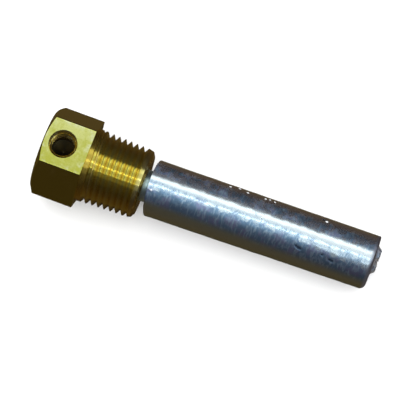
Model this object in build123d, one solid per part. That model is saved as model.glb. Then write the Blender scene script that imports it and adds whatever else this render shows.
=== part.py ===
from build123d import *
from math import atan, atan2, ceil, cos, degrees, radians, sin, tan
import os

# A pencil anode for an engine's cooling circuit, in millimetres. A cast zinc rod has a short
# stub that is held in the end of a brass pipe plug. The plug screws into the engine, the rod
# stands in the cooling water, and a bonding wire is screwed into one flat of the plug's head.
#
# Plug frame: the plug's axis is X, the head's outer face is at x = 0 and the rod points to +X.
# The flat with the bonding-wire hole faces +Z. At the end the anode is laid on its side.

# --- Brass plug: hexagon head ---------------------------------------------------------------
head_across_flats = 23.81         # 15/16 in spanner
head_height = 13.5
head_face_margin = 0.6            # from each flat in to the round outer face
head_chamfer_angle = 30.0         # of the outer chamfer, from the face

# --- Brass plug: tapered pipe thread, 1/2-14 NPT -----------------------------------------------
thread_pitch = 25.4 / 14
thread_end_diameter = 20.72       # over the crests at the small end
thread_taper = 1 / 16             # growth of the diameter per unit of length
thread_length = 17.4              # from the head's shoulder to the end
thread_angle = 60.0               # between the flanks
thread_crest_flat = 0.3           # the crests are worn, the roots are cut sharp
thread_shoulder_land = 0.7        # plain land between the groove's end and the shoulder
thread_runout_turns = 1.0         # over these turns the groove rises out of the brass
thread_start_land = 1.6           # smooth nose between the end face and the groove's start
thread_runin_turns = 0.5          # over these turns the groove sinks in to its full depth
thread_start_angle = 338.5        # of the groove's start, round the axis from +Y
nose_length = 2.6                 # from where the crests begin to drop to the end face
nose_angle = 14.0                 # from the axis
nose_chamfer_length = 0.7
nose_chamfer_angle = 60.0         # from the axis

# --- Brass plug: tapped hole for the bonding wire's screw, 5/16-18 UNC --------------------------
wire_hole_bore = 6.6              # tapping drill
wire_hole_mouth = 8.3             # over the countersink
wire_hole_mouth_angle = 90.0
wire_hole_depth = 7.0             # of the full bore, from the flat
wire_hole_from_face = 5.9         # from the head's outer face to the hole's axis
drill_point_angle = 118.0

# --- Zinc rod -----------------------------------------------------------------------------------
rod_length = 66.55                # along its axis
rod_plug_end_diameter = 16.7      # the rod has casting draft, so it narrows to its far end
rod_far_end_diameter = 16.1
rod_gap = 2.55                    # bare stub between the plug's end and the rod, on its axis
rod_lean = 2.0                    # the rod stands this much off the plug's axis
rod_lean_toward = 25.0            # direction of the lean, from straight up towards +Y
stub_diameter = 9.4
stub_depth = 14.0                 # of the socket in the plug, where the stub bottoms
stub_clearance = 0.05             # on the radius, between the stub and its socket
plug_end_slant = 6.7              # the rod's plug end is cast out of square, so its +Z side
                                  # reaches further towards the plug
far_end_round_back = 0.3          # edge radius at the far end: on the +Y side ...
far_end_round_front = 1.8         # ... and on the -Y side, since the wear is off centre
round_steps = 4                   # flats that make up the edge's quarter round

# --- Torn sprue on the rod's far end ------------------------------------------------------------
sprue_shift = 1.1                 # from the rod's axis towards +Y
sprue_slope = 35.0                # of its torn sides, from the rod's axis
sprue_sides = 7
back_lump_across = 6.4
back_lump_height = 1.5
back_lump_shift = 1.35            # from the sprue's middle towards +Y
back_lump_turn = 70.0
back_lump_break = 12.0            # slope of the torn facet across its top
front_lump_across = 6.0
front_lump_height = 1.38
front_lump_shift = -1.5
front_lump_turn = -60.0
front_lump_break = 14.0

# The thread's cone and groove. The V groove's flanks run out past the crest by a small margin,
# so that no face of the cutter lies in the crest's surface.
cone_slope = thread_taper / 2
thread_end_radius = thread_end_diameter / 2
flank_slope = tan(radians(thread_angle / 2))
groove_half_width = (thread_pitch - thread_crest_flat) / 2
groove_depth = groove_half_width / flank_slope
cutter_margin = 0.05
cutter_rise = groove_depth / 2
cutter_half_width = groove_half_width + cutter_margin * flank_slope
plug_length = head_height + thread_length


def conical_groove(x_start, radius, length, slope, turned):
    """Return the cutter of one groove, and where its path ends round the axis in degrees.

    The groove starts at x_start and runs back along -X. Its path is a right-hand helix that
    starts on the given radius, grows by slope for each unit of length, and has its start
    turned round the axis. The path has one edge for each turn, so that each face of the cutter
    meets the cone only once. The cutter is the thread's V carried along that path.
    """
    turns = ceil(length / thread_pitch)
    step = length / turns
    edges = []
    for turn in range(turns):
        helix = Edge.make_helix(thread_pitch / cos(atan(slope)), step, radius + slope * step * turn,
                                (x_start - step * turn, 0, 0), (-1, 0, 0), degrees(atan(slope)))
        first = helix @ 0
        at = turned - 360 * step * turn / thread_pitch
        edges.append(helix.rotate(Axis.X, at - degrees(atan2(first.Z, first.Y))))
    path = Wire(edges)
    start = path @ 0
    outward = Vector(0, start.Y, start.Z).normalized()
    across = Vector(-1, 0, 0)
    section = Plane(origin=start, x_dir=across, z_dir=across.cross(outward))
    outline = Polyline((0, -groove_depth),
                       (cutter_half_width, cutter_margin),
                       (cutter_half_width, cutter_rise),
                       (-cutter_half_width, cutter_rise),
                       (-cutter_half_width, cutter_margin),
                       close=True)
    cutter = sweep(section * make_face(outline), path=path, is_frenet=True)
    return cutter, turned - 360 * length / thread_pitch


def crest_radius(x):
    """Radius of the thread's crests at x from the shoulder."""
    return thread_end_radius + (thread_length - x) * cone_slope


def pipe_thread():
    """The plug's threaded length, from x = 0 at the shoulder to its chamfered small end."""
    nose_start = thread_length - nose_length
    chamfer_start = thread_length - nose_chamfer_length
    nose_drop = (nose_length - nose_chamfer_length) * tan(radians(nose_angle))
    chamfer_radius = crest_radius(nose_start) - nose_drop
    end_radius = chamfer_radius - nose_chamfer_length * tan(radians(nose_chamfer_angle))
    outline = make_face(Polyline((0, 0), (0, crest_radius(0)),
                                 (nose_start, crest_radius(nose_start)),
                                 (chamfer_start, chamfer_radius),
                                 (thread_length, end_radius), (thread_length, 0), close=True))
    blank = revolve(outline, Axis.X)

    # From the nose back to the shoulder: the groove sinks in, runs at full depth, climbs out.
    sink = groove_depth + cutter_margin
    overlap = 0.02 * thread_pitch
    back = 360 * overlap / thread_pitch
    runin_length = thread_runin_turns * thread_pitch
    runout_length = thread_runout_turns * thread_pitch
    x_runin = thread_length - thread_start_land
    x_full = x_runin - runin_length
    x_runout = thread_shoulder_land + runout_length
    runin, reached = conical_groove(x_runin, crest_radius(x_runin) + sink,
                                    runin_length, cone_slope - sink / runin_length,
                                    thread_start_angle)
    full, reached = conical_groove(x_full + overlap, crest_radius(x_full + overlap),
                                   x_full + overlap - x_runout, cone_slope, reached + back)
    runout, _ = conical_groove(x_runout + overlap, crest_radius(x_runout + overlap),
                               runout_length + overlap, sink / runout_length, reached + back)
    return blank - runin - full - runout


def plug_head():
    """The hexagon head, from x = 0 at its outer face, with its corners chamfered there."""
    hexagon = RegularPolygon(head_across_flats / 2, 6, major_radius=False)
    prism = extrude(Plane.YZ * hexagon, head_height)
    face_radius = head_across_flats / 2 - head_face_margin
    chamfer_growth = head_height / tan(radians(head_chamfer_angle))
    cone = Cone(face_radius, face_radius + chamfer_growth, head_height,
                align=(Align.CENTER, Align.CENTER, Align.MIN))
    return prism & (Plane.YZ * cone)


def wire_hole():
    """The blind hole for the bonding wire: countersunk mouth, bore and drill point."""
    flat = head_across_flats / 2
    bore = wire_hole_bore / 2
    mouth = wire_hole_mouth / 2
    sink = (mouth - bore) / tan(radians(wire_hole_mouth_angle / 2))
    clear = bore / 2
    mouth_above = mouth + clear * tan(radians(wire_hole_mouth_angle / 2))
    point = bore / tan(radians(drill_point_angle / 2))
    outline = Polyline((0, flat + clear), (mouth_above, flat + clear), (bore, flat - sink),
                       (bore, flat - wire_hole_depth), (0, flat - wire_hole_depth - point),
                       close=True)
    hole = revolve(make_face(Plane.XZ * outline), Axis.Z)
    return Pos(wire_hole_from_face, 0, 0) * hole


def lean(shape):
    """Swing a shape off the plug's axis onto the rod's leaning axis, about the plug's end."""
    toward = radians(rod_lean_toward)
    hinge = Axis((plug_length, 0, 0), (0, -cos(toward), sin(toward)))
    return shape.rotate(hinge, rod_lean)


def socket():
    """The flat-bottomed socket that is bored into the plug's end along the rod's axis."""
    mouth_clear = rod_gap / 2
    bore = Cylinder(stub_diameter / 2 + stub_clearance, stub_depth + mouth_clear,
                    align=(Align.CENTER, Align.CENTER, Align.MIN))
    return lean(Pos(plug_length - stub_depth, 0, 0) * (Plane.YZ * bore))


def brass_plug():
    thread = Pos(head_height, 0, 0) * pipe_thread()
    return plug_head() + thread - wire_hole() - socket()


def rod_radius(x):
    """The drafted rod's radius at x from its plug end."""
    draft = (rod_plug_end_diameter - rod_far_end_diameter) / 2 / rod_length
    return rod_plug_end_diameter / 2 - draft * x


def worn_far_end():
    """Circles from the rod's side to its far end face, along an unevenly worn edge.

    The edge's quarter round is far_end_round_back on the +Y side, far_end_round_front on the -Y
    side and eases from one to the other round the rod. So each circle is set off centre and a
    little tilted, which keeps it on the round all the way.
    """
    mean = (far_end_round_back + far_end_round_front) / 2
    swing = (far_end_round_back - far_end_round_front) / 2
    circles = []
    for step in range(round_steps, -1, -1):
        angle = radians(90 * step / round_steps)
        along = 1 - cos(angle)
        inset = 1 - sin(angle)
        x = rod_length - mean * along
        tilt = -swing * along / rod_radius(x)
        plane = Plane(origin=(x, -swing * inset, 0), x_dir=(0, 0, 1), z_dir=(1, -tilt, 0))
        circles.append(plane * Circle(rod_radius(x) - mean * inset))
    return circles


def rod_body():
    """The drafted rod, with its slanting plug end through x = 0 and its worn far edge."""
    slanting = Plane(origin=(0, 0, 0), x_dir=(0, 1, 0), z_dir=(1, 0, tan(radians(plug_end_slant))))
    return loft([slanting * Circle(rod_radius(0))] + worn_far_end(), ruled=True)


def torn_lump(across, height, shift, turn, slope):
    """One many-sided lump of the torn sprue, with half of its top broken away on a slope."""
    base = Plane.YZ * RegularPolygon(across / 2, sprue_sides)
    lump = extrude(base, height, taper=sprue_slope)
    broken_off = Pos(height, 0, 0) * Rot(0, -slope, 0) * Box(
        across, 2 * across, 2 * across, align=(Align.MIN, Align.CENTER, Align.CENTER))
    return Pos(0, shift, 0) * (lump - broken_off).rotate(Axis.X, turn)


def torn_sprue():
    """The stub of the casting sprue, from x = 0: two torn lumps that run into each other."""
    back = torn_lump(back_lump_across, back_lump_height, back_lump_shift,
                     back_lump_turn, back_lump_break)
    front = torn_lump(front_lump_across, front_lump_height, front_lump_shift,
                      front_lump_turn, front_lump_break)
    return back + front


def zinc_rod():
    """The rod with its stub bottomed in the socket and the torn sprue on its far end."""
    embedded = stub_diameter / 2
    stub = Plane.YZ * Cylinder(stub_diameter / 2, stub_depth + rod_gap + embedded,
                               align=(Align.CENTER, Align.CENTER, Align.MIN))
    stub = Pos(-stub_depth - rod_gap, 0, 0) * stub
    sprue = Pos(rod_length, sprue_shift, 0) * torn_sprue()
    return lean(Pos(plug_length + rod_gap, 0, 0) * (rod_body() + stub + sprue))


def rest_tilt(rod):
    """Dip of the plug's axis, in degrees, once the head's shoulder and the rod's end both touch.

    The anode's weight is past the head, so it rocks on the shoulder's lower edge until the rod
    comes down. Each step tips it by what is still open under the rod's far end.
    """
    head = plug_head()
    reach = rod.bounding_box().max.X - head_height
    tilt = 0.0
    for _ in range(4):
        open_gap = (rod.rotate(Axis.Y, tilt).bounding_box().min.Z
                    - head.rotate(Axis.Y, tilt).bounding_box().min.Z)
        tilt += degrees(atan2(open_gap, reach))
    return tilt


plug = brass_plug()
rod = zinc_rod()

# Laid down: +Z is up, the bench is z = 0, and the origin is under the middle of the anode.
tilt = rest_tilt(rod)
plug = plug.rotate(Axis.Y, tilt)
rod = rod.rotate(Axis.Y, tilt)
box = Compound([plug, rod]).bounding_box()
to_origin = Pos(-box.center().X, -box.center().Y, -box.min.Z)

os.makedirs("parts", exist_ok=True)
export_step(to_origin * plug, "parts/brass_plug.step")
export_step(to_origin * rod, "parts/zinc_rod.step")
print("rest tilt", round(tilt, 3), "degrees; moved by", to_origin)
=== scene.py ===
import bmesh
import bpy
import numpy as np
from mathutils import Matrix, Vector


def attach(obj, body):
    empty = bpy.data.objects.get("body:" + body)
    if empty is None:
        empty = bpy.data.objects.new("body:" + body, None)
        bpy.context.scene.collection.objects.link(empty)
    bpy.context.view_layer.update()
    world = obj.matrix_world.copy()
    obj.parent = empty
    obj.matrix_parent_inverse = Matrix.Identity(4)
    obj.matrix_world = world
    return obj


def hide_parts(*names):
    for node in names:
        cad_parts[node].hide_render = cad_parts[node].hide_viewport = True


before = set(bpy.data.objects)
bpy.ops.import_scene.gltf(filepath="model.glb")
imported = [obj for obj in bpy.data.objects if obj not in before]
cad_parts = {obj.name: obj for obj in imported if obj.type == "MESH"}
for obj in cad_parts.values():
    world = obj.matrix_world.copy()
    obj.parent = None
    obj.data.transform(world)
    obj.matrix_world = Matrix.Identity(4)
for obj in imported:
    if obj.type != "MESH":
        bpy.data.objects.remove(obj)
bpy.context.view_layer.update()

# --- Brass pipe plug -------------------------------------------------------------------------
# A plug turned in one piece from hexagon brass bar: a spanner head, a 1/2-14 NPT taper thread
# and, in its end, the socket that holds the rod's stub. One flat of the head is drilled,
# countersunk and tapped for the screw of a bonding wire.

# Lengths are in millimetres in the plug's own frame: x runs along its axis from the head's
# outer face, and the drilled flat faces z. The anode lies on the head's lower edge and the
# rod's far edge, so laid() tilts and shifts that frame.
laid_tilt = np.radians(4.0109)
laid_shift = np.array([-50.3005, 0.0, 12.8201])
head_height = 13.5
plug_length = head_height + 17.4
end_radius = 20.72 / 2                  # of the thread's cone over its crests, at the plug's end
taper = 1 / 32                          # of that radius along the axis
edge_reach = 0.16                       # how far a worn edge's round reaches from the corner
round_steps = 4


def laid(points):
    """Plug frame in mm to the anode's resting frame in m: a turn about y by the tilt, a shift."""
    x, y, z = np.moveaxis(points, -1, 0)
    c, s = np.cos(laid_tilt), np.sin(laid_tilt)
    return (np.stack([x * c + z * s, y, z * c - x * s], -1) + laid_shift) / 1000


def round_axis(along, radius, angle):
    """Points of a turned surface: along x, at a radius, and at an angle from y towards z."""
    return np.stack(np.broadcast_arrays(along, radius * np.cos(angle), radius * np.sin(angle)), -1)


def profile(rows, columns):
    """Rows of (place on the axis, radius) spread over the columns: (rows, columns, 2).

    A place or a radius is one number for its whole row, or one for each column.
    """
    level = np.zeros(columns)
    return np.stack([np.stack([place + level, radius + level], -1) for place, radius in rows])


def between(first, last, shares):
    """Rows at the given shares of the way from one row to another."""
    shares = np.asarray(shares)[:, None, None]
    return first * (1 - shares) + last * shares


def rounded(corners, reach, steps=round_steps):
    """Rows of a profile with each inner corner replaced by a short parabola.

    The parabola leaves each side at reach from the corner, or at 0.45 of a shorter side:
    (1-t)^2 a + 2t(1-t) corner + t^2 b.
    """
    rows = [corners[:1]]
    t = np.linspace(0, 1, steps + 1)[:, None, None]
    for before, corner, after in zip(corners[:-2], corners[1:-1], corners[2:]):
        ends = []
        for other in (before, after):
            side = other - corner
            length = np.maximum(np.linalg.norm(side, axis=-1, keepdims=True), 1e-9)
            ends.append(corner + side / length * np.minimum(reach, 0.45 * length))
        rows.append((1 - t) ** 2 * ends[0] + 2 * t * (1 - t) * corner + t ** 2 * ends[1])
    return np.concatenate(rows + [corners[-1:]])


# The head: a hexagon prism with its outer corners turned off to a cone.
head_apothem = 23.81 / 2
head_face_radius = head_apothem - 0.6
head_chamfer_rise = np.tan(np.radians(30))  # of the chamfer's cone, along the axis per radius
corner_round = 0.32
shoulder_radius = end_radius + taper * (plug_length - head_height)

# The columns start at one edge of the drilled flat and go once round, so that this flat is the
# last sixth of them. Each corner of the hexagon gets its own few columns.
corner_steps = 4
flat_steps = 38
corner_centre = (head_apothem - corner_round) / np.cos(np.pi / 6)
corner_share = np.pi / 6 - np.arctan(
    (head_apothem - corner_round) * np.tan(np.pi / 6) / head_apothem)
sixth = np.concatenate([
    np.linspace(-1, 1, corner_steps + 1)[:-1] * corner_share,
    np.linspace(corner_share, np.pi / 3 - corner_share, flat_steps + 1)[:-1]])
around = (np.arange(2, 8)[:, None] * np.pi / 3 + sixth).ravel()
around = np.append(around, 8 * np.pi / 3 - corner_share)
plain = slice(0, 5 * sixth.size + corner_steps + 1)
drilled = slice(5 * sixth.size + corner_steps, None)

# The hexagon's radius is apothem / cos(angle off the flat), with a small arc at each corner.
off_flat = (around % (np.pi / 3)) - np.pi / 6
off_corner = np.pi / 6 - abs(off_flat)
arc = corner_centre * np.cos(off_corner) + np.sqrt(np.maximum(
    corner_round ** 2 - (corner_centre * np.sin(off_corner)) ** 2, 0))
hexagon = np.where(off_corner < corner_share, arc, head_apothem / np.cos(off_flat))

# Its profile goes from the middle of the outer face over three rounded edges to the thread.
edges = rounded(profile([
    (0, 0.9 * head_face_radius),
    (0, head_face_radius),
    ((hexagon - head_face_radius) * head_chamfer_rise, hexagon),
    (head_height, hexagon),
    (head_height, shoulder_radius)], around.size), edge_reach)
side_start = 2 * (round_steps + 1)      # the row of edges that ends the second round
face_rows = between(profile([(0, 0)], around.size)[0], edges[0], [0, 0.3, 0.7])
side_rows = between(edges[side_start], edges[side_start + 1], np.linspace(0, 1, 25))
shoulder_rows = between(edges[-2], edges[-1], [0.25, 0.5, 0.75])
head_profile = np.concatenate([face_rows, edges[:side_start], side_rows,
                               edges[side_start + 2:-1], shoulder_rows, edges[-1:]])
side_first = len(face_rows) + side_start
side_last = side_first + len(side_rows) - 1
head = round_axis(head_profile[..., 0], head_profile[..., 1], around)

# The drilled flat is a ring of rows from its own outline in to the rounded edge of the hole.
wire_x = 5.9
wire_mouth = 4.15                       # radius of the countersink at the flat
mouth_rim = wire_mouth + edge_reach
flat_shares = [0, 0.04, 0.25, 0.5, 0.75, 0.9, 1]
outline = np.concatenate([head[side_first, drilled],
                          head[side_first + 1:side_last, -1],
                          head[side_last, drilled][::-1],
                          head[side_first + 1:side_last, drilled.start][::-1],
                          head[side_first:side_first + 1, drilled.start]])
bearing = np.unwrap(np.arctan2(outline[:, 1], outline[:, 0] - wire_x))


def round_hole(height, radius):
    """Points round the hole's axis: at a height z and a radius, each at its column's bearing."""
    return np.stack(np.broadcast_arrays(
        wire_x + radius * np.cos(bearing), radius * np.sin(bearing), height), -1)


flat = between(outline, round_hole(head_apothem, mouth_rim), flat_shares)

# The hole: rounded mouth, countersink, tapped bore and drill point, with its rows going down.
wire_bore = 3.3
wire_depth = 7.0
wire_pitch = 25.4 / 18
wire_groove = 0.66
wire_root_fill = 0.03                   # half the width of a root's worn bottom
wire_blend = 0.04                       # over which its crests and the countersink's foot are worn
wire_runout_turns = 1.2
wire_root_height = 0.3                  # of a root at bearing 0, give or take whole turns
drill_rise = 1 / np.tan(np.radians(59))
flank_rise = np.tan(np.radians(30))     # of a 60 degree thread: half its width over its depth


def fade(values, none, full):
    """0 where a value is at none, 1 where it is at full, straight between and held beyond."""
    return np.clip((values - none) / (full - none), 0, 1)


def lower(a, b, blend):
    """The lesser of two heights, with the crease between them rounded over about blend."""
    return (a + b - np.sqrt((a - b) ** 2 + blend ** 2)) / 2


def vee(depth, from_root, fill, blend):
    """Height of a V groove's floor: minus its depth at the root, and about 0 beyond the groove.

    floor = distance from the root / tan 30 - depth, held under 0. The root is worn round over
    half the width fill, and the crests over about blend.
    """
    cut = depth - np.sqrt(from_root ** 2 + fill ** 2) / flank_rise
    return lower(0 * cut, -cut, blend)


def thread_rows(low, high, turn, lead, offsets, phase):
    """How far along each point of a thread's grid lies: rows that follow the helix.

    along = (whole turn + offset in it + turn round the axis) * lead, shifted by phase, and held
    between low and high. It gives along, the distance from the nearest root, and where on the
    axis that root is. A hair is added before the nearest is chosen, so that a point half way
    between two roots takes the same one on both sides of the seam.
    """
    spare, hair = 2, 1e-9
    first = np.floor((low - phase) / lead) - spare
    turns = int(np.ceil((high - low) / lead)) + 2 * spare + 1
    rows = (first + np.arange(turns)[:, None] + offsets).reshape(-1, 1)
    along = np.clip(phase + (rows + turn - np.floor(turn.min())) * lead, low, high)
    from_root = (along - phase - turn * lead + lead / 2 + hair) % lead - lead / 2
    return along, from_root, along - from_root


mouth_floor = head_apothem - edge_reach
tapped_floor = head_apothem - wire_depth
wire_offsets = np.array([0, 0.05, 0.15, 0.28, 0.39, 0.45, 0.55, 0.61, 0.72, 0.85, 0.95])
down, from_root, _ = thread_rows(tapped_floor, mouth_floor, bearing / (2 * np.pi), wire_pitch,
                                 wire_offsets, wire_root_height)
wire_runout = fade(down, tapped_floor, tapped_floor + wire_runout_turns * wire_pitch)
tapped = wire_bore - vee(wire_groove * wire_runout, from_root, wire_root_fill, wire_blend)
countersink = wire_mouth - (head_apothem - down)
tapped = -lower(-tapped, -countersink, wire_blend)
mouth = rounded(profile([(head_apothem, mouth_rim), (head_apothem, wire_mouth),
                         (down[-1], tapped[-1])], bearing.size), reach=1.0, steps=5)
drill_rows = profile([(down[0], tapped[0]), (tapped_floor - wire_bore * drill_rise, 0)],
                     bearing.size)
drill_point = between(*drill_rows, [0.1, 0.35, 0.65, 0.9, 1])
hole_profile = np.concatenate([mouth, np.stack([down, tapped], -1)[::-1][1:], drill_point])
hole = round_hole(hole_profile[..., 0], hole_profile[..., 1])

# The taper thread: a V groove along a right-hand helix. It sinks in behind the smooth nose, and
# its depth fades again over the last turn before the shoulder.
pitch = 25.4 / 14
crest_flat = 0.10
root_fill = 0.05                        # half the width of a root's worn bottom
crest_blend = 0.06                      # over which its crests are worn
groove_depth = (pitch - crest_flat) / 2 / flank_rise
shoulder_land = 0.7
runout_turns = 1.0
start_land = 1.6                        # smooth nose between the end face and the groove's start
runin_turns = 0.5
start_turn = 338.5 / 360                # where round the axis the groove starts
nose_length = 2.6
nose_slope = np.tan(np.radians(14))
nose_blend = 0.03
nose_chamfer_length = 0.7
nose_chamfer_slope = np.tan(np.radians(60))
tool_marks = 0.003                      # height of the turned surface's unevenness
tool_mark_length = 1.5


def ripples(points, size, seed):
    """Sum of plane cosine waves of random direction and phase, wavelength about size, near +-1."""
    waves = 14
    random = np.random.default_rng(seed)
    ways = random.normal(size=(waves, 3))
    ways *= 2 * np.pi / size * random.uniform(0.6, 1.5, (waves, 1)) / np.linalg.norm(
        ways, axis=1, keepdims=True)
    phases = random.uniform(0, 2 * np.pi, waves)
    return np.cos(points @ ways.T + phases).sum(-1) / np.sqrt(waves)


chamfer_start = plug_length - nose_chamfer_length
thread_stop = chamfer_start - edge_reach
thread_offsets = np.array([0, 0.025, 0.08, 0.17, 0.26, 0.35, 0.42, 0.455, 0.5,
                           0.545, 0.58, 0.65, 0.74, 0.83, 0.92, 0.975])
along, from_root, root = thread_rows(head_height, thread_stop, around / (2 * np.pi), pitch,
                                     thread_offsets,
                                     plug_length - start_land - start_turn * pitch)
crest = end_radius + taper * (plug_length - along)
climb_out = (root - head_height - shoulder_land) / (runout_turns * pitch)
sink_in = (plug_length - start_land - root) / (runin_turns * pitch)
depth = groove_depth * np.clip(np.minimum(climb_out, sink_in), -0.3, 1)
threaded = crest + vee(depth, from_root, root_fill, crest_blend)
nose_start = plug_length - nose_length
nose = end_radius + taper * nose_length - (along - nose_start) * nose_slope
threaded = lower(threaded, nose, nose_blend)
thread = round_axis(along, threaded, around)
uneven_skin = tool_marks * (ripples(thread, tool_mark_length, seed=3) - 1)
thread += uneven_skin[..., None] * round_axis(0, 1, around)
thread[0] = head[-1]                    # the seam with the head

# The end face, and the socket that is bored along the rod's axis, a little off the plug's own.
socket_radius = 4.75
socket_depth = 14.0
socket_bevel = 0.45
rod_lean = np.radians(2.0)
lean_toward = np.radians(25.0)


def leaning(points):
    """Swing points about the plug's end, from the plug's axis onto the rod's (Rodrigues)."""
    hinge = np.array([0, -np.cos(lean_toward), np.sin(lean_toward)])
    arm = points - [plug_length, 0, 0]
    c, s = np.cos(rod_lean), np.sin(rod_lean)
    turned_arm = arm * c + np.cross(hinge, arm) * s + hinge * (arm @ hinge)[..., None] * (1 - c)
    return turned_arm + [plug_length, 0, 0]


end_edge = np.hypot(thread[-1, :, 1], thread[-1, :, 2])  # radius of the thread's last row
chamfer_edge = end_edge - edge_reach * nose_slope
end_profile = rounded(profile([
    (thread_stop, end_edge),
    (chamfer_start, chamfer_edge),
    (plug_length, chamfer_edge - nose_chamfer_length * nose_chamfer_slope),
    (plug_length, socket_radius + socket_bevel),
    (plug_length - socket_bevel, socket_radius)], around.size), edge_reach)
socket_rows = np.array([                # depth from the end face, radius
    [2 * socket_bevel, socket_radius], [4.0, socket_radius], [9.0, socket_radius],
    [socket_depth - 0.3, socket_radius], [socket_depth, socket_radius - 0.25],
    [socket_depth, 2.0], [socket_depth, 0.0]])
socket = leaning(round_axis(plug_length - socket_rows[:, :1], socket_rows[:, 1:], around))
end = np.concatenate([round_axis(end_profile[..., 0], end_profile[..., 1], around), socket])

# The plug's grids, which share the points where they meet.
plug_sheets = {"head": head[:, plain], "face by the flat": head[:side_first + 1, drilled],
               "shoulder by the flat": head[side_last:, drilled], "flat": flat, "hole": hole,
               "thread": thread, "end": end}

# Painted shade goes from 0 on clean brass to 1 where it is black. In the hole it grows with the
# depth, lies thinner on the thread's crests, and leaves one spot of the drill point bright as a
# painted glint.
grime = {part: np.zeros(sheet.shape[:2]) for part, sheet in plug_sheets.items()}
shade_start = 0.2                       # depth in the hole, just inside its rounded edge
# Where the painted glint lies on the drill point.
glint_x = wire_x + 0.2
glint_y = -1.7
sunk = head_apothem - hole[..., 2]
# Painted shade that deepens down the hole and thins on the tapped thread's crests.
shade_by_depth = 0.40 + 0.20 * fade(sunk, 0, 3) + 0.40 * fade(sunk, 3.5, 5.5)
on_crests = fade(hole_profile[..., 1], wire_bore + 0.2, wire_bore) * (sunk < wire_depth - 0.1)
painted_glint_spot = (sunk > wire_depth - 0.3) * np.exp(
    -((hole[..., 0] - glint_x) / 0.3) ** 2 - ((hole[..., 1] - glint_y) / 0.9) ** 2)
grime["hole"] = (sunk > shade_start) * (1 - 0.25 * on_crests) * (shade_by_depth - 0.7 * painted_glint_spot)

# The thread gets painted shade in its roots, and on its crests near the shoulder and over the
# nose. The end face gets painted shade all over, and the socket is painted black inside.
crest_bands = np.maximum(fade(along - head_height, 3.84, 2.24),
                         fade(along, nose_start, nose_start + 0.6))
hollow = (crest - threaded) / groove_depth
grime["thread"] = (0.05 + 0.33 * crest_bands * fade(hollow, 1 / 3, 0)
                   + 0.5 * fade(hollow, 0.8, 1))
in_socket = end[..., 0] < chamfer_start - 1
grime["end"] = 0.5 + in_socket * fade(plug_length - end[..., 0], 0, 2)

# The drilled flat gets a painted highlight along its outline, less with each row inwards, up to
# half way to the hole.
rubbed = {part: np.zeros(sheet.shape[:2]) for part, sheet in plug_sheets.items()}
rubbed["flat"] += np.interp(flat_shares, [0, 0.04, 0.25, 0.5], [1, 0.9, 0.35, 0])[:, None]


def joined(name, sheets, **marks):
    """One closed mesh from grids of points, with their shared seams and poles merged.

    Each sheet is (rows, columns, 3) and each mark gives one number for each of its points. A
    grid's quads join each point to the next in its row and column.
    """
    same_point = 2e-6                   # in metres
    crease = np.radians(38)             # an edge that turns more than this stays sharp
    points, quads, start = [], [], 0
    for sheet in sheets:
        rows, columns = sheet.shape[:2]
        index = np.arange(rows * columns).reshape(rows, columns) + start
        corners = [index[:-1, :-1], index[:-1, 1:], index[1:, 1:], index[1:, :-1]]
        quads.append(np.stack(corners, -1).reshape(-1, 4))
        points.append(sheet.reshape(-1, 3))
        start += rows * columns
    mesh = bpy.data.meshes.new(name)
    mesh.from_pydata(np.concatenate(points), [], np.concatenate(quads))
    for mark, values in marks.items():
        layer = mesh.attributes.new(mark, "FLOAT", "POINT")
        layer.data.foreach_set("value", np.concatenate([v.ravel() for v in values]))
    solid = bmesh.new()
    solid.from_mesh(mesh)
    bmesh.ops.remove_doubles(solid, verts=solid.verts, dist=same_point)
    bmesh.ops.recalc_face_normals(solid, faces=solid.faces)
    solid.to_mesh(mesh)
    solid.free()
    mesh.shade_smooth()
    mesh.set_sharp_from_angle(angle=crease)
    piece = bpy.data.objects.new(name, mesh)
    bpy.context.scene.collection.objects.link(piece)
    return piece


# The plug carries its painted shade and painted highlight as marks on its points.
plug = joined("pipe_plug", [laid(sheet) for sheet in plug_sheets.values()],
              grime=grime.values(), rubbed=rubbed.values())
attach(plug, "root")
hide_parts("brass_plug")


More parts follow.
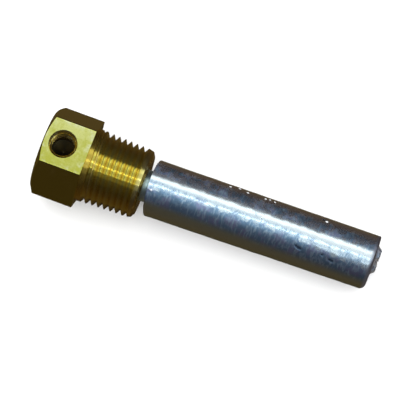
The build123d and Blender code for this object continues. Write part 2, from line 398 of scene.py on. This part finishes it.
class Shade:
    """One number, colour or vector of a material. Arithmetic on it adds Math nodes."""

    def __init__(self, tree, socket=None):
        self.tree = tree
        self.socket = socket

    def node(self, kind, output, settings, sockets):
        """A node of this kind: its settings, then a value or a link for each socket named."""
        made = self.tree.nodes.new(kind)
        for name, value in settings.items():
            if name == "stops":
                ramp = made.color_ramp.elements
                while len(ramp) < len(value):
                    ramp.new(0.5)
                for stop, (place, colour) in zip(ramp, value):
                    stop.position = place
                    stop.color = (*colour, 1)
            else:
                setattr(made, name, value)
        for name, value in sockets.items():
            socket = made.inputs[name] if isinstance(name, int) else next(
                s for s in made.inputs if s.enabled and s.name == name)
            if isinstance(value, Shade):
                self.tree.links.new(value.socket, socket)
            else:
                socket.default_value = value
        return Shade(self.tree, next(s for s in made.outputs if s.enabled and s.name == output))

    def math(self, operation, *values):
        """A Math node's result on these values, each a number or a Shade."""
        return self.node("ShaderNodeMath", "Value", {"operation": operation},
                         dict(enumerate(values)))

    def __add__(self, other):
        return self.math("ADD", self, other)

    __radd__ = __add__

    def __mul__(self, other):
        return self.math("MULTIPLY", self, other)

    __rmul__ = __mul__

    def __sub__(self, other):
        return self.math("SUBTRACT", self, other)

    def __rsub__(self, other):
        return self.math("SUBTRACT", other, self)

    def held(self, low, high):
        """This value held between two others."""
        return self.math("MINIMUM", self.math("MAXIMUM", self, low), high)

    def step(self, low, high):
        """0 on low's side, 1 on high's side, and smooth between."""
        return self.node("ShaderNodeMapRange", "Result", {"interpolation_type": "SMOOTHSTEP"},
                         {"Value": self, "From Min": low, "From Max": high})

    def mixed(self, first, second):
        """The first colour where this value is 0 and the second where it is 1."""
        first, second = ((*c, 1) if isinstance(c, tuple) else c for c in (first, second))
        return self.node("ShaderNodeMix", "Result", {"data_type": "RGBA"},
                         {"Factor": self, "A": first, "B": second})

    def ramp(self, stops):
        """A colour for this value, mixed between the stops, which are (value, colour)."""
        return self.node("ShaderNodeValToRGB", "Color", {"stops": stops}, {"Fac": self})

    def axis(self, name):
        """This vector's X, Y or Z."""
        return self.node("ShaderNodeSeparateXYZ", name, {}, {"Vector": self})

    def mark(self, name):
        """The number that the mesh holds under this name."""
        return self.node("ShaderNodeAttribute", "Fac", {"attribute_name": name}, {})

    def stretched(self, turn, scale):
        """This vector turned by angles and then scaled, as a pattern's coordinates."""
        return self.node("ShaderNodeMapping", "Vector", {"vector_type": "POINT"},
                         {"Vector": self, "Rotation": turn, "Scale": scale})

    def noise(self, scale, detail, roughness=0.5, distortion=0.0):
        """Cloudy noise over this vector, 0 to 1 and mostly near a half."""
        return self.node("ShaderNodeTexNoise", "Fac", {},
                         {"Vector": self, "Scale": scale, "Detail": detail,
                          "Roughness": roughness, "Distortion": distortion})

    def bumps(self, distance):
        """The normals of a bump whose height is this value, 0 to 1, times distance in metres."""
        return self.node("ShaderNodeBump", "Normal", {}, {"Height": self, "Distance": distance})


def metal(name, piece):
    """A new metal material on a piece. It gives the piece's coordinates and the shader node."""
    material = bpy.data.materials.new(name)
    material.use_nodes = True
    tree = material.node_tree
    shader = tree.nodes["Principled BSDF"]
    shader.inputs["Metallic"].default_value = 1.0
    piece.data.materials.append(material)
    where = Shade(tree).node("ShaderNodeTexCoord", "Object", {}, {})
    return where, shader


def dress(shader, **surface):
    """Link what varies to the shader's sockets, whose names have _ in place of a space."""
    for name, value in surface.items():
        value.tree.links.new(value.socket, shader.inputs[name.replace("_", " ")])


# The plug's finish: bright yellow brass with fine turning lines, paler in clouds and towards
# the back, and palest in the painted highlight on the drilled flat. Coordinates are in metres.
brass_green = (0.70, 0.64, 0.10)
brass_pale = (0.86, 0.79, 0.26)
# Colour of the painted highlight on the drilled flat's outline.
brass_highlight = (0.94, 0.87, 0.50)
# Colours of the painted shade, from clean brass to black.
shade_colours = [(0.0, (0.89, 0.81, 0.37)), (0.35, (0.68, 0.46, 0.07)), (0.6, (0.34, 0.22, 0.06)),
                 (0.8, (0.17, 0.12, 0.05)), (1.0, (0.075, 0.062, 0.035))]
paler_backwards = 18                    # per metre towards the back
across_lines = (9000, 500, 500)         # changes fastest along the plug, so its lines go round

where, brass = metal("turned_brass", plug)
# How much painted shade each point has.
shade_amount = where.mark("grime")
clouds = where.noise(330, 5, 0.6, 0.4)
specks = where.noise(1900, 3, 0.6)
turning_lines = where.stretched((0, float(laid_tilt), 0), across_lines).noise(1.0, 3, 0.6)
pale = (clouds * 0.7 + specks * 0.3 + where.axis("Y") * paler_backwards).step(0.34, 0.66)
# Painted highlight along the drilled flat's outline, broken up by the clouds.
highlight_amount = where.mark("rubbed") * clouds.step(0.42, 0.62)
clean = highlight_amount.mixed(pale.mixed(brass_green, brass_pale), brass_highlight)

# From a trace of painted shade on, the brass takes the shade's colours in place of its clean
# ones. Middling painted shade is broken by flecks of painted glint.
painted_glints = where.noise(800, 2).step(0.52, 0.58) * shade_amount.step(0.38, 0.45) * shade_amount.step(0.80, 0.66)
shaded_colour = (shade_amount - painted_glints * 0.4).ramp(shade_colours)
dress(brass, Base_Color=shade_amount.step(0.0, 0.05).mixed(clean, shaded_colour),
      Roughness=(0.08 + 0.04 * pale + 0.04 * (specks - 0.5) + 0.25 * shade_amount).held(0.06, 0.6),
      Normal=(turning_lines * 0.6 + specks * 0.4).bumps(0.000006))

# --- Zinc rod --------------------------------------------------------------------------------
# A rod of zinc cast with a little draft and a stub, which is held in the plug's socket. Its
# end edges are worn unevenly, and the far end keeps the torn stub of the sprue.

# Here x starts at the rod's plug end and runs along its own axis.
rod_gap = 2.55                          # between the plug's end face and the rod's
rod_length = 66.55
rod_near_radius = 16.7 / 2
rod_far_radius = 16.1 / 2
near_slant = np.tan(np.radians(6.7))    # of the plug-end face, which comes forward on the +z side
near_round = 0.15                       # how far the plug-end edge's round reaches
far_rounds = (0.3, 1.8)                 # edge radius on the +y side and on the -y side
rod_around = np.linspace(0, 2 * np.pi, 257)  # its columns, of which the last meets the first
side_steps = 281


def rod_radius(x):
    """The drafted rod's radius at x from its plug end."""
    return rod_near_radius + (rod_far_radius - rod_near_radius) * x / rod_length


def uneven(sides, angle):
    """A size that is sides[0] on the +y side, sides[1] on the -y side, and eases between them."""
    return (sides[0] + sides[1]) / 2 + (sides[0] - sides[1]) / 2 * np.cos(angle)


# The stub, and the groove round it against the rod's face, whose rows slant with that face.
forward = near_slant * np.sin(rod_around)  # how far the face comes towards the plug, per radius
stub_radius = 4.7
stub_depth = 14.0
stub_start = -stub_depth - rod_gap
undercut_width = 0.42
undercut_depth = 0.4
stub = profile([
    (stub_start, 0), (stub_start, 2.2), (stub_start, stub_radius - 0.3),
    (stub_start + 0.3, stub_radius), (stub_start + 5, stub_radius),
    (stub_start + 11, stub_radius), (-rod_gap, stub_radius), (-rod_gap + 0.5, stub_radius)],
    rod_around.size)
undercut = profile([
    (-undercut_width - 0.15, stub_radius), (-undercut_width, stub_radius - 0.1),
    (-0.8 * undercut_width, stub_radius - undercut_depth),
    (-0.2 * undercut_width, stub_radius - undercut_depth), (0, stub_radius - 0.2)],
    rod_around.size)
undercut[..., 0] -= undercut[..., 1] * forward

# The slanting plug-end face, the drafted side, and the quarter round the far edge is worn to.
edge_x = -rod_radius(0) * forward
near = rounded(profile([
    (undercut[-1, :, 0], undercut[-1, :, 1]),
    (edge_x, rod_radius(edge_x)),
    (edge_x + 1.0, rod_radius(edge_x + 1.0))], rod_around.size), near_round)
near = np.concatenate([between(near[0], near[1], [0.25, 0.5, 0.75]), near[1:]])
quarter = np.linspace(0, np.pi / 2, 11)[::-1, None]
worn = uneven(far_rounds, rod_around)
far_x = rod_length - worn * (1 - np.cos(quarter))
far_r = rod_radius(far_x) - worn * (1 - np.sin(quarter))
side_shares = np.linspace(0, 1, side_steps + 1)[1:-1]
side_x = between(near[-1, :, :1], far_x[0][:, None], side_shares)[..., 0]
rod_profile = np.concatenate([stub, undercut, near, np.stack([side_x, rod_radius(side_x)], -1),
                              np.stack([far_x, far_r], -1)])
rod_x, rod_r = np.moveaxis(rod_profile, -1, 0)
body = round_axis(rod_x, rod_r, rod_around)

# The cast skin swells slightly and carries a few crumbs and pits. Each is given by its distance
# along the rod, its angle from y in degrees, and its size.
crumb_height = 0.20
pit_depth = 0.15
swell = 0.020
fine_swell = 0.010
crumbs = np.array([
    [21.2, 39, 0.28], [23.9, 33, 0.30], [26.4, 39, 0.28], [31.8, 39, 0.28], [33.1, 37, 0.24],
    [34.6, 40, 0.26], [50.4, 46, 0.34], [0.35, 109, 0.28]])
pits = np.array([
    [32.6, 92, 0.18], [49.3, 42, 0.45], [50.0, 40, 0.35], [44.3, 122, 0.35], [45.0, 124, 0.45],
    [45.7, 125, 0.35], [54.4, 127, 0.40], [55.3, 128, 0.45], [52.0, 122, 0.35]])


def scars(places):
    """Small round marks on the rod: the sum of exp(-(distance / size)^2) over the places."""
    turned = rod_around[:, None] - np.radians(places[:, 1])
    apart = (rod_x[..., None] - places[:, 0]) ** 2 + (rod_r[..., None] * turned) ** 2
    return np.exp(-apart / places[:, 2] ** 2).sum(-1)


crumbed, pitted = scars(crumbs), scars(pits)
on_side = fade(rod_x, edge_x + 0.2, edge_x + 1.7) * fade(rod_x, rod_length - 1.5, rod_length - 3)
skin = on_side * (swell * (ripples(body, 9, seed=11) - 1.2)
                  + fine_swell * (ripples(body, 2.6, seed=12) - 1.2))
skin += crumb_height * crumbed
skin -= pit_depth * pitted
body += skin[..., None] * round_axis(0, 1, rod_around)

# The far end face: rings that slide from the rod's edge to the sprue's middle, closer together
# over the sprue, which broke off as two lumps side by side.
sprue_shift = 1.1
sprue_share = 0.45                      # of the way in, where the close rings start


def torn_lump(y, z, across, height, shift, turn, slope):
    """Height of a seven-sided lump: the least of its sides' slopes and of its sloping break.

    It stands at shift along y, turned by a number of degrees, and its break falls off towards
    its own +z side by slope in degrees.
    """
    lean = np.tan(np.radians(35))       # of its sides, in from upright
    y = y - shift
    c, s = np.cos(np.radians(turn)), np.sin(np.radians(turn))
    y, z = y * c + z * s, z * c - y * s
    sides = 2 * np.pi * (np.arange(7) + 0.5) / 7
    reach = (y[..., None] * np.cos(sides) + z[..., None] * np.sin(sides)).max(-1)
    apothem = across / 2 * np.cos(np.pi / 7)
    return np.minimum((apothem - reach) / lean,
                      height - np.maximum(0, z) * np.tan(np.radians(slope)))


ring = np.concatenate([np.linspace(0, sprue_share, 5)[1:],
                       np.linspace(sprue_share, 1, 46)[1:]])[:, None]
face_y = (far_r[-1] * np.cos(rod_around)) * (1 - ring) + sprue_shift * ring
face_z = (far_r[-1] * np.sin(rod_around)) * (1 - ring)
lumps = np.maximum(
    torn_lump(face_y - sprue_shift, face_z, 6.4, height=1.5, shift=1.35, turn=70, slope=12),
    torn_lump(face_y - sprue_shift, face_z, 6.0, height=1.38, shift=-1.5, turn=-60, slope=14))
face = np.stack([rod_length + 0 * lumps, face_y, face_z], -1)
rough = (0.07 * (ripples(face, 1.1, seed=21) - 1.2)
         + 0.05 * (ripples(face, 0.5, seed=22) - 1.2))
face[..., 0] += np.maximum(lumps, 0) + rough * fade(lumps, 0, 0.6)

# What the finish follows, on the body and on the far end face: crust is dull oxide on the
# crumbs and the break, pit the pits, neck the stub and its groove, and rim the far edge.
mottled = 0.6 + 0.4 * np.clip(ripples(face, 0.7, seed=23), -1, 1)
broken = np.where(lumps > 0, 0.15, 0.06) * mottled
rod_marks = {
    "crust": (fade(crumbed, 0.15, 0.5), broken),
    "pit": (pitted, 0 * lumps),
    "neck": (fade(edge_x - rod_x, 0, 0.1), 0 * lumps),
    "rim": (0.85 * fade(rod_x, rod_length - 1.4, rod_length - 0.9),
            np.clip(0.9 - lumps, 0.3, 0.85))}
rod_sheet = leaning(np.concatenate([body, face]) + [plug_length + rod_gap, 0, 0])
rod = joined("anode_rod", [laid(rod_sheet)],
             **{mark: [np.concatenate(parts)] for mark, parts in rod_marks.items()})
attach(rod, "root")
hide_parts("zinc_rod")

# The rod's finish: bright blue-white zinc with a painted near-white highlight along the top,
# ragged slate patches as painted shade on both sides of it, and painted olive shade at the front's
# foot.
zinc_blue = (0.62, 0.72, 0.84)
zinc_pale = (0.80, 0.88, 0.94)
# Colour of the painted highlight along the top.
zinc_highlight = (0.96, 0.97, 0.98)
slate_blue = (0.22, 0.34, 0.49)
slate_violet = (0.32, 0.35, 0.53)
slate_pale = (0.46, 0.59, 0.72)
# Colour of the painted shade at the front's foot.
olive_shade = (0.47, 0.48, 0.35)
rim_grey = (0.36, 0.36, 0.43)
neck_green = (0.58, 0.71, 0.72)
pit_dark = (0.07, 0.10, 0.16)
crust_grey = (0.72, 0.74, 0.76)
across_hairs = (1300, 420, 420)         # changes fastest along the rod, so its hairs go round

where, zinc = metal("cast_zinc", rod)
crust, pit, neck, rim = (where.mark(name) for name in rod_marks)
across, length = where.axis("Y"), where.axis("X")
patches = where.noise(420, 5, 0.6, 0.6)
hairs = where.stretched((0, 0, 0.1), across_hairs).noise(1.0, 4, 0.6, 0.6)
hues = where.noise(260, 3, 0.6)
mottle = patches * 0.5 + hairs * 0.5

# Slate sets in across the rod, in metres from its middle: in front of the top, nearer to it
# half way along than at the ends, and in a band 3 to 5 mm behind it. Its mottling is the zinc's
# own, but where it lies is painted shade round the highlight.
border = across + length.step(-0.002, -0.030) * 0.0013 + length.step(0.018, 0.045) * 0.0014
front = border.step(-0.0006, -0.0030) * 0.25 - across.step(-0.0004, 0.0008) * 0.10
back = across.step(0.0014, 0.0030) * 0.20 - across.step(0.0050, 0.0068) * 0.20
slate_and_shade = (patches * 0.62 + hairs * 0.38 + front + back).step(0.48, 0.66)
# Painted shade at the front's foot.
front_foot_shade = across.step(-0.0050, -0.0068)
scuffs = (patches * 0.6 + hues * 0.4).step(0.47, 0.60)
scuffs = scuffs * across.step(0.0018, 0.0036) * across.step(0.0070, 0.0050)

bare = mottle.step(0.56, 0.42).mixed(zinc_blue, zinc_pale)
# Painted near-white highlight along the top.
bare = across.step(-0.0004, 0.0008).mixed(bare, zinc_highlight)
dull = hues.step(0.45, 0.6).mixed(slate_blue, slate_violet)
dull = hairs.step(0.48, 0.66).mixed(dull, slate_pale)
colour = front_foot_shade.mixed(slate_and_shade.mixed(bare, dull), olive_shade)
colour = rim.mixed(colour, rim_grey)
colour = neck.mixed(colour, neck_green)
colour = pit.step(0.30, 0.60).mixed(colour, pit_dark)
colour = crust.mixed(colour, crust_grey)
roughness = 0.19 + 0.12 * slate_and_shade + 0.18 * scuffs + 0.2 * pit + 0.15 * neck + 0.15 * rim
dress(zinc, Base_Color=colour, Metallic=1 - crust,
      Roughness=(roughness + 0.3 * crust).held(0.1, 0.7), Normal=mottle.bumps(0.00002))

# --- Studio ----------------------------------------------------------------------------------
# A pale floor, lamps that hang level overhead, and a dim room that only reflections see. The
# anode is shown from above and a little to its front side, with the head to the left.
scene = bpy.context.scene
scene.view_settings.view_transform = "Standard"

floor_half = 4.0
paper_white = (0.9, 0.9, 0.9, 1)
floor_mesh = bpy.data.meshes.new("floor")
floor_mesh.from_pydata([(-floor_half, -floor_half, 0), (floor_half, -floor_half, 0),
                        (floor_half, floor_half, 0), (-floor_half, floor_half, 0)],
                       [], [(0, 1, 2, 3)])
floor = bpy.data.objects.new("floor", floor_mesh)
scene.collection.objects.link(floor)
paper = bpy.data.materials.new("pale_paper")
paper.use_nodes = True
paper_shader = paper.node_tree.nodes["Principled BSDF"]
paper_shader.inputs["Base Color"].default_value = paper_white
paper_shader.inputs["Roughness"].default_value = 0.9
floor_mesh.materials.append(paper)
floor.visible_glossy = False

# The lamps light only what is glossy: they show as bright bands along the metal. The floor's
# light comes from the world, evenly from all sides.
lamp_length = 3.8
lamp_colour = (0.84, 0.97, 0.99)


def softbox(name, across, height, width, brightness):
    """A long rectangular light that faces down, at y = across, whose surface is this bright."""
    light = bpy.data.lights.new(name, "AREA")
    light.shape = "RECTANGLE"
    light.size = lamp_length
    light.size_y = width
    light.color = lamp_colour
    light.energy = brightness * np.pi * lamp_length * width
    lamp = bpy.data.objects.new(name, light)
    lamp.location = (0, across, height)
    lamp.visible_camera = False
    lamp.visible_diffuse = False
    scene.collection.objects.link(lamp)


softbox("overhead", 0.095, 0.90, width=1.05, brightness=0.68)
softbox("middle_strip", -0.055, 0.85, width=0.06, brightness=2.0)
softbox("back_strip", 0.40, 0.85, width=0.26, brightness=0.5)
softbox("front_strip", -0.37, 0.85, width=0.06, brightness=0.7)
softbox("front_fill", -0.62, 0.85, width=0.36, brightness=0.13)

# Reflections see the dim room in place of that even light: warm low down and cooler overhead.
# Its ramp goes from straight down at 0 to straight up at 1.
even_light = (1.8, 1.8, 1.8)
room_colours = [
    (0.0, (0.030, 0.020, 0.010)), (0.05, (0.085, 0.060, 0.026)), (0.16, (0.076, 0.052, 0.026)),
    (0.37, (0.045, 0.031, 0.026)), (0.50, (0.030, 0.023, 0.022)), (0.62, (0.030, 0.027, 0.036)),
    (0.80, (0.052, 0.053, 0.070)), (1.0, (0.10, 0.12, 0.15))]
world = bpy.data.worlds.new("studio")
scene.world = world
world.use_nodes = True
sky = Shade(world.node_tree)
reflected = sky.node("ShaderNodeLightPath", "Is Glossy Ray", {}, {})
up = sky.node("ShaderNodeTexCoord", "Generated", {}, {}).axis("Z")
sky_colour = reflected.mixed(even_light, (up * 0.5 + 0.5).ramp(room_colours))
dress(world.node_tree.nodes["Background"], Color=sky_colour)

# The camera's place and the ways it looks and holds its top are in the plug's frame.
camera_at = np.array([67.744, -146.168, 555.856])
look_way = np.array([-0.03552, 0.25670, -0.96584])
top_way = np.array([-0.34481, 0.90395, 0.25293])
camera_data = bpy.data.cameras.new("camera")
camera_data.lens = 180.0
camera_data.sensor_width = 36.0
camera = bpy.data.objects.new("camera", camera_data)
scene.collection.objects.link(camera)
eye = laid(camera_at)
backward = Vector(eye - laid(camera_at + look_way)).normalized()
right = Vector(laid(camera_at + top_way) - eye).cross(backward).normalized()
camera.matrix_world = Matrix.Translation(Vector(eye)) @ Matrix(
    (right, backward.cross(right), backward)).transposed().to_4x4()
scene.camera = camera
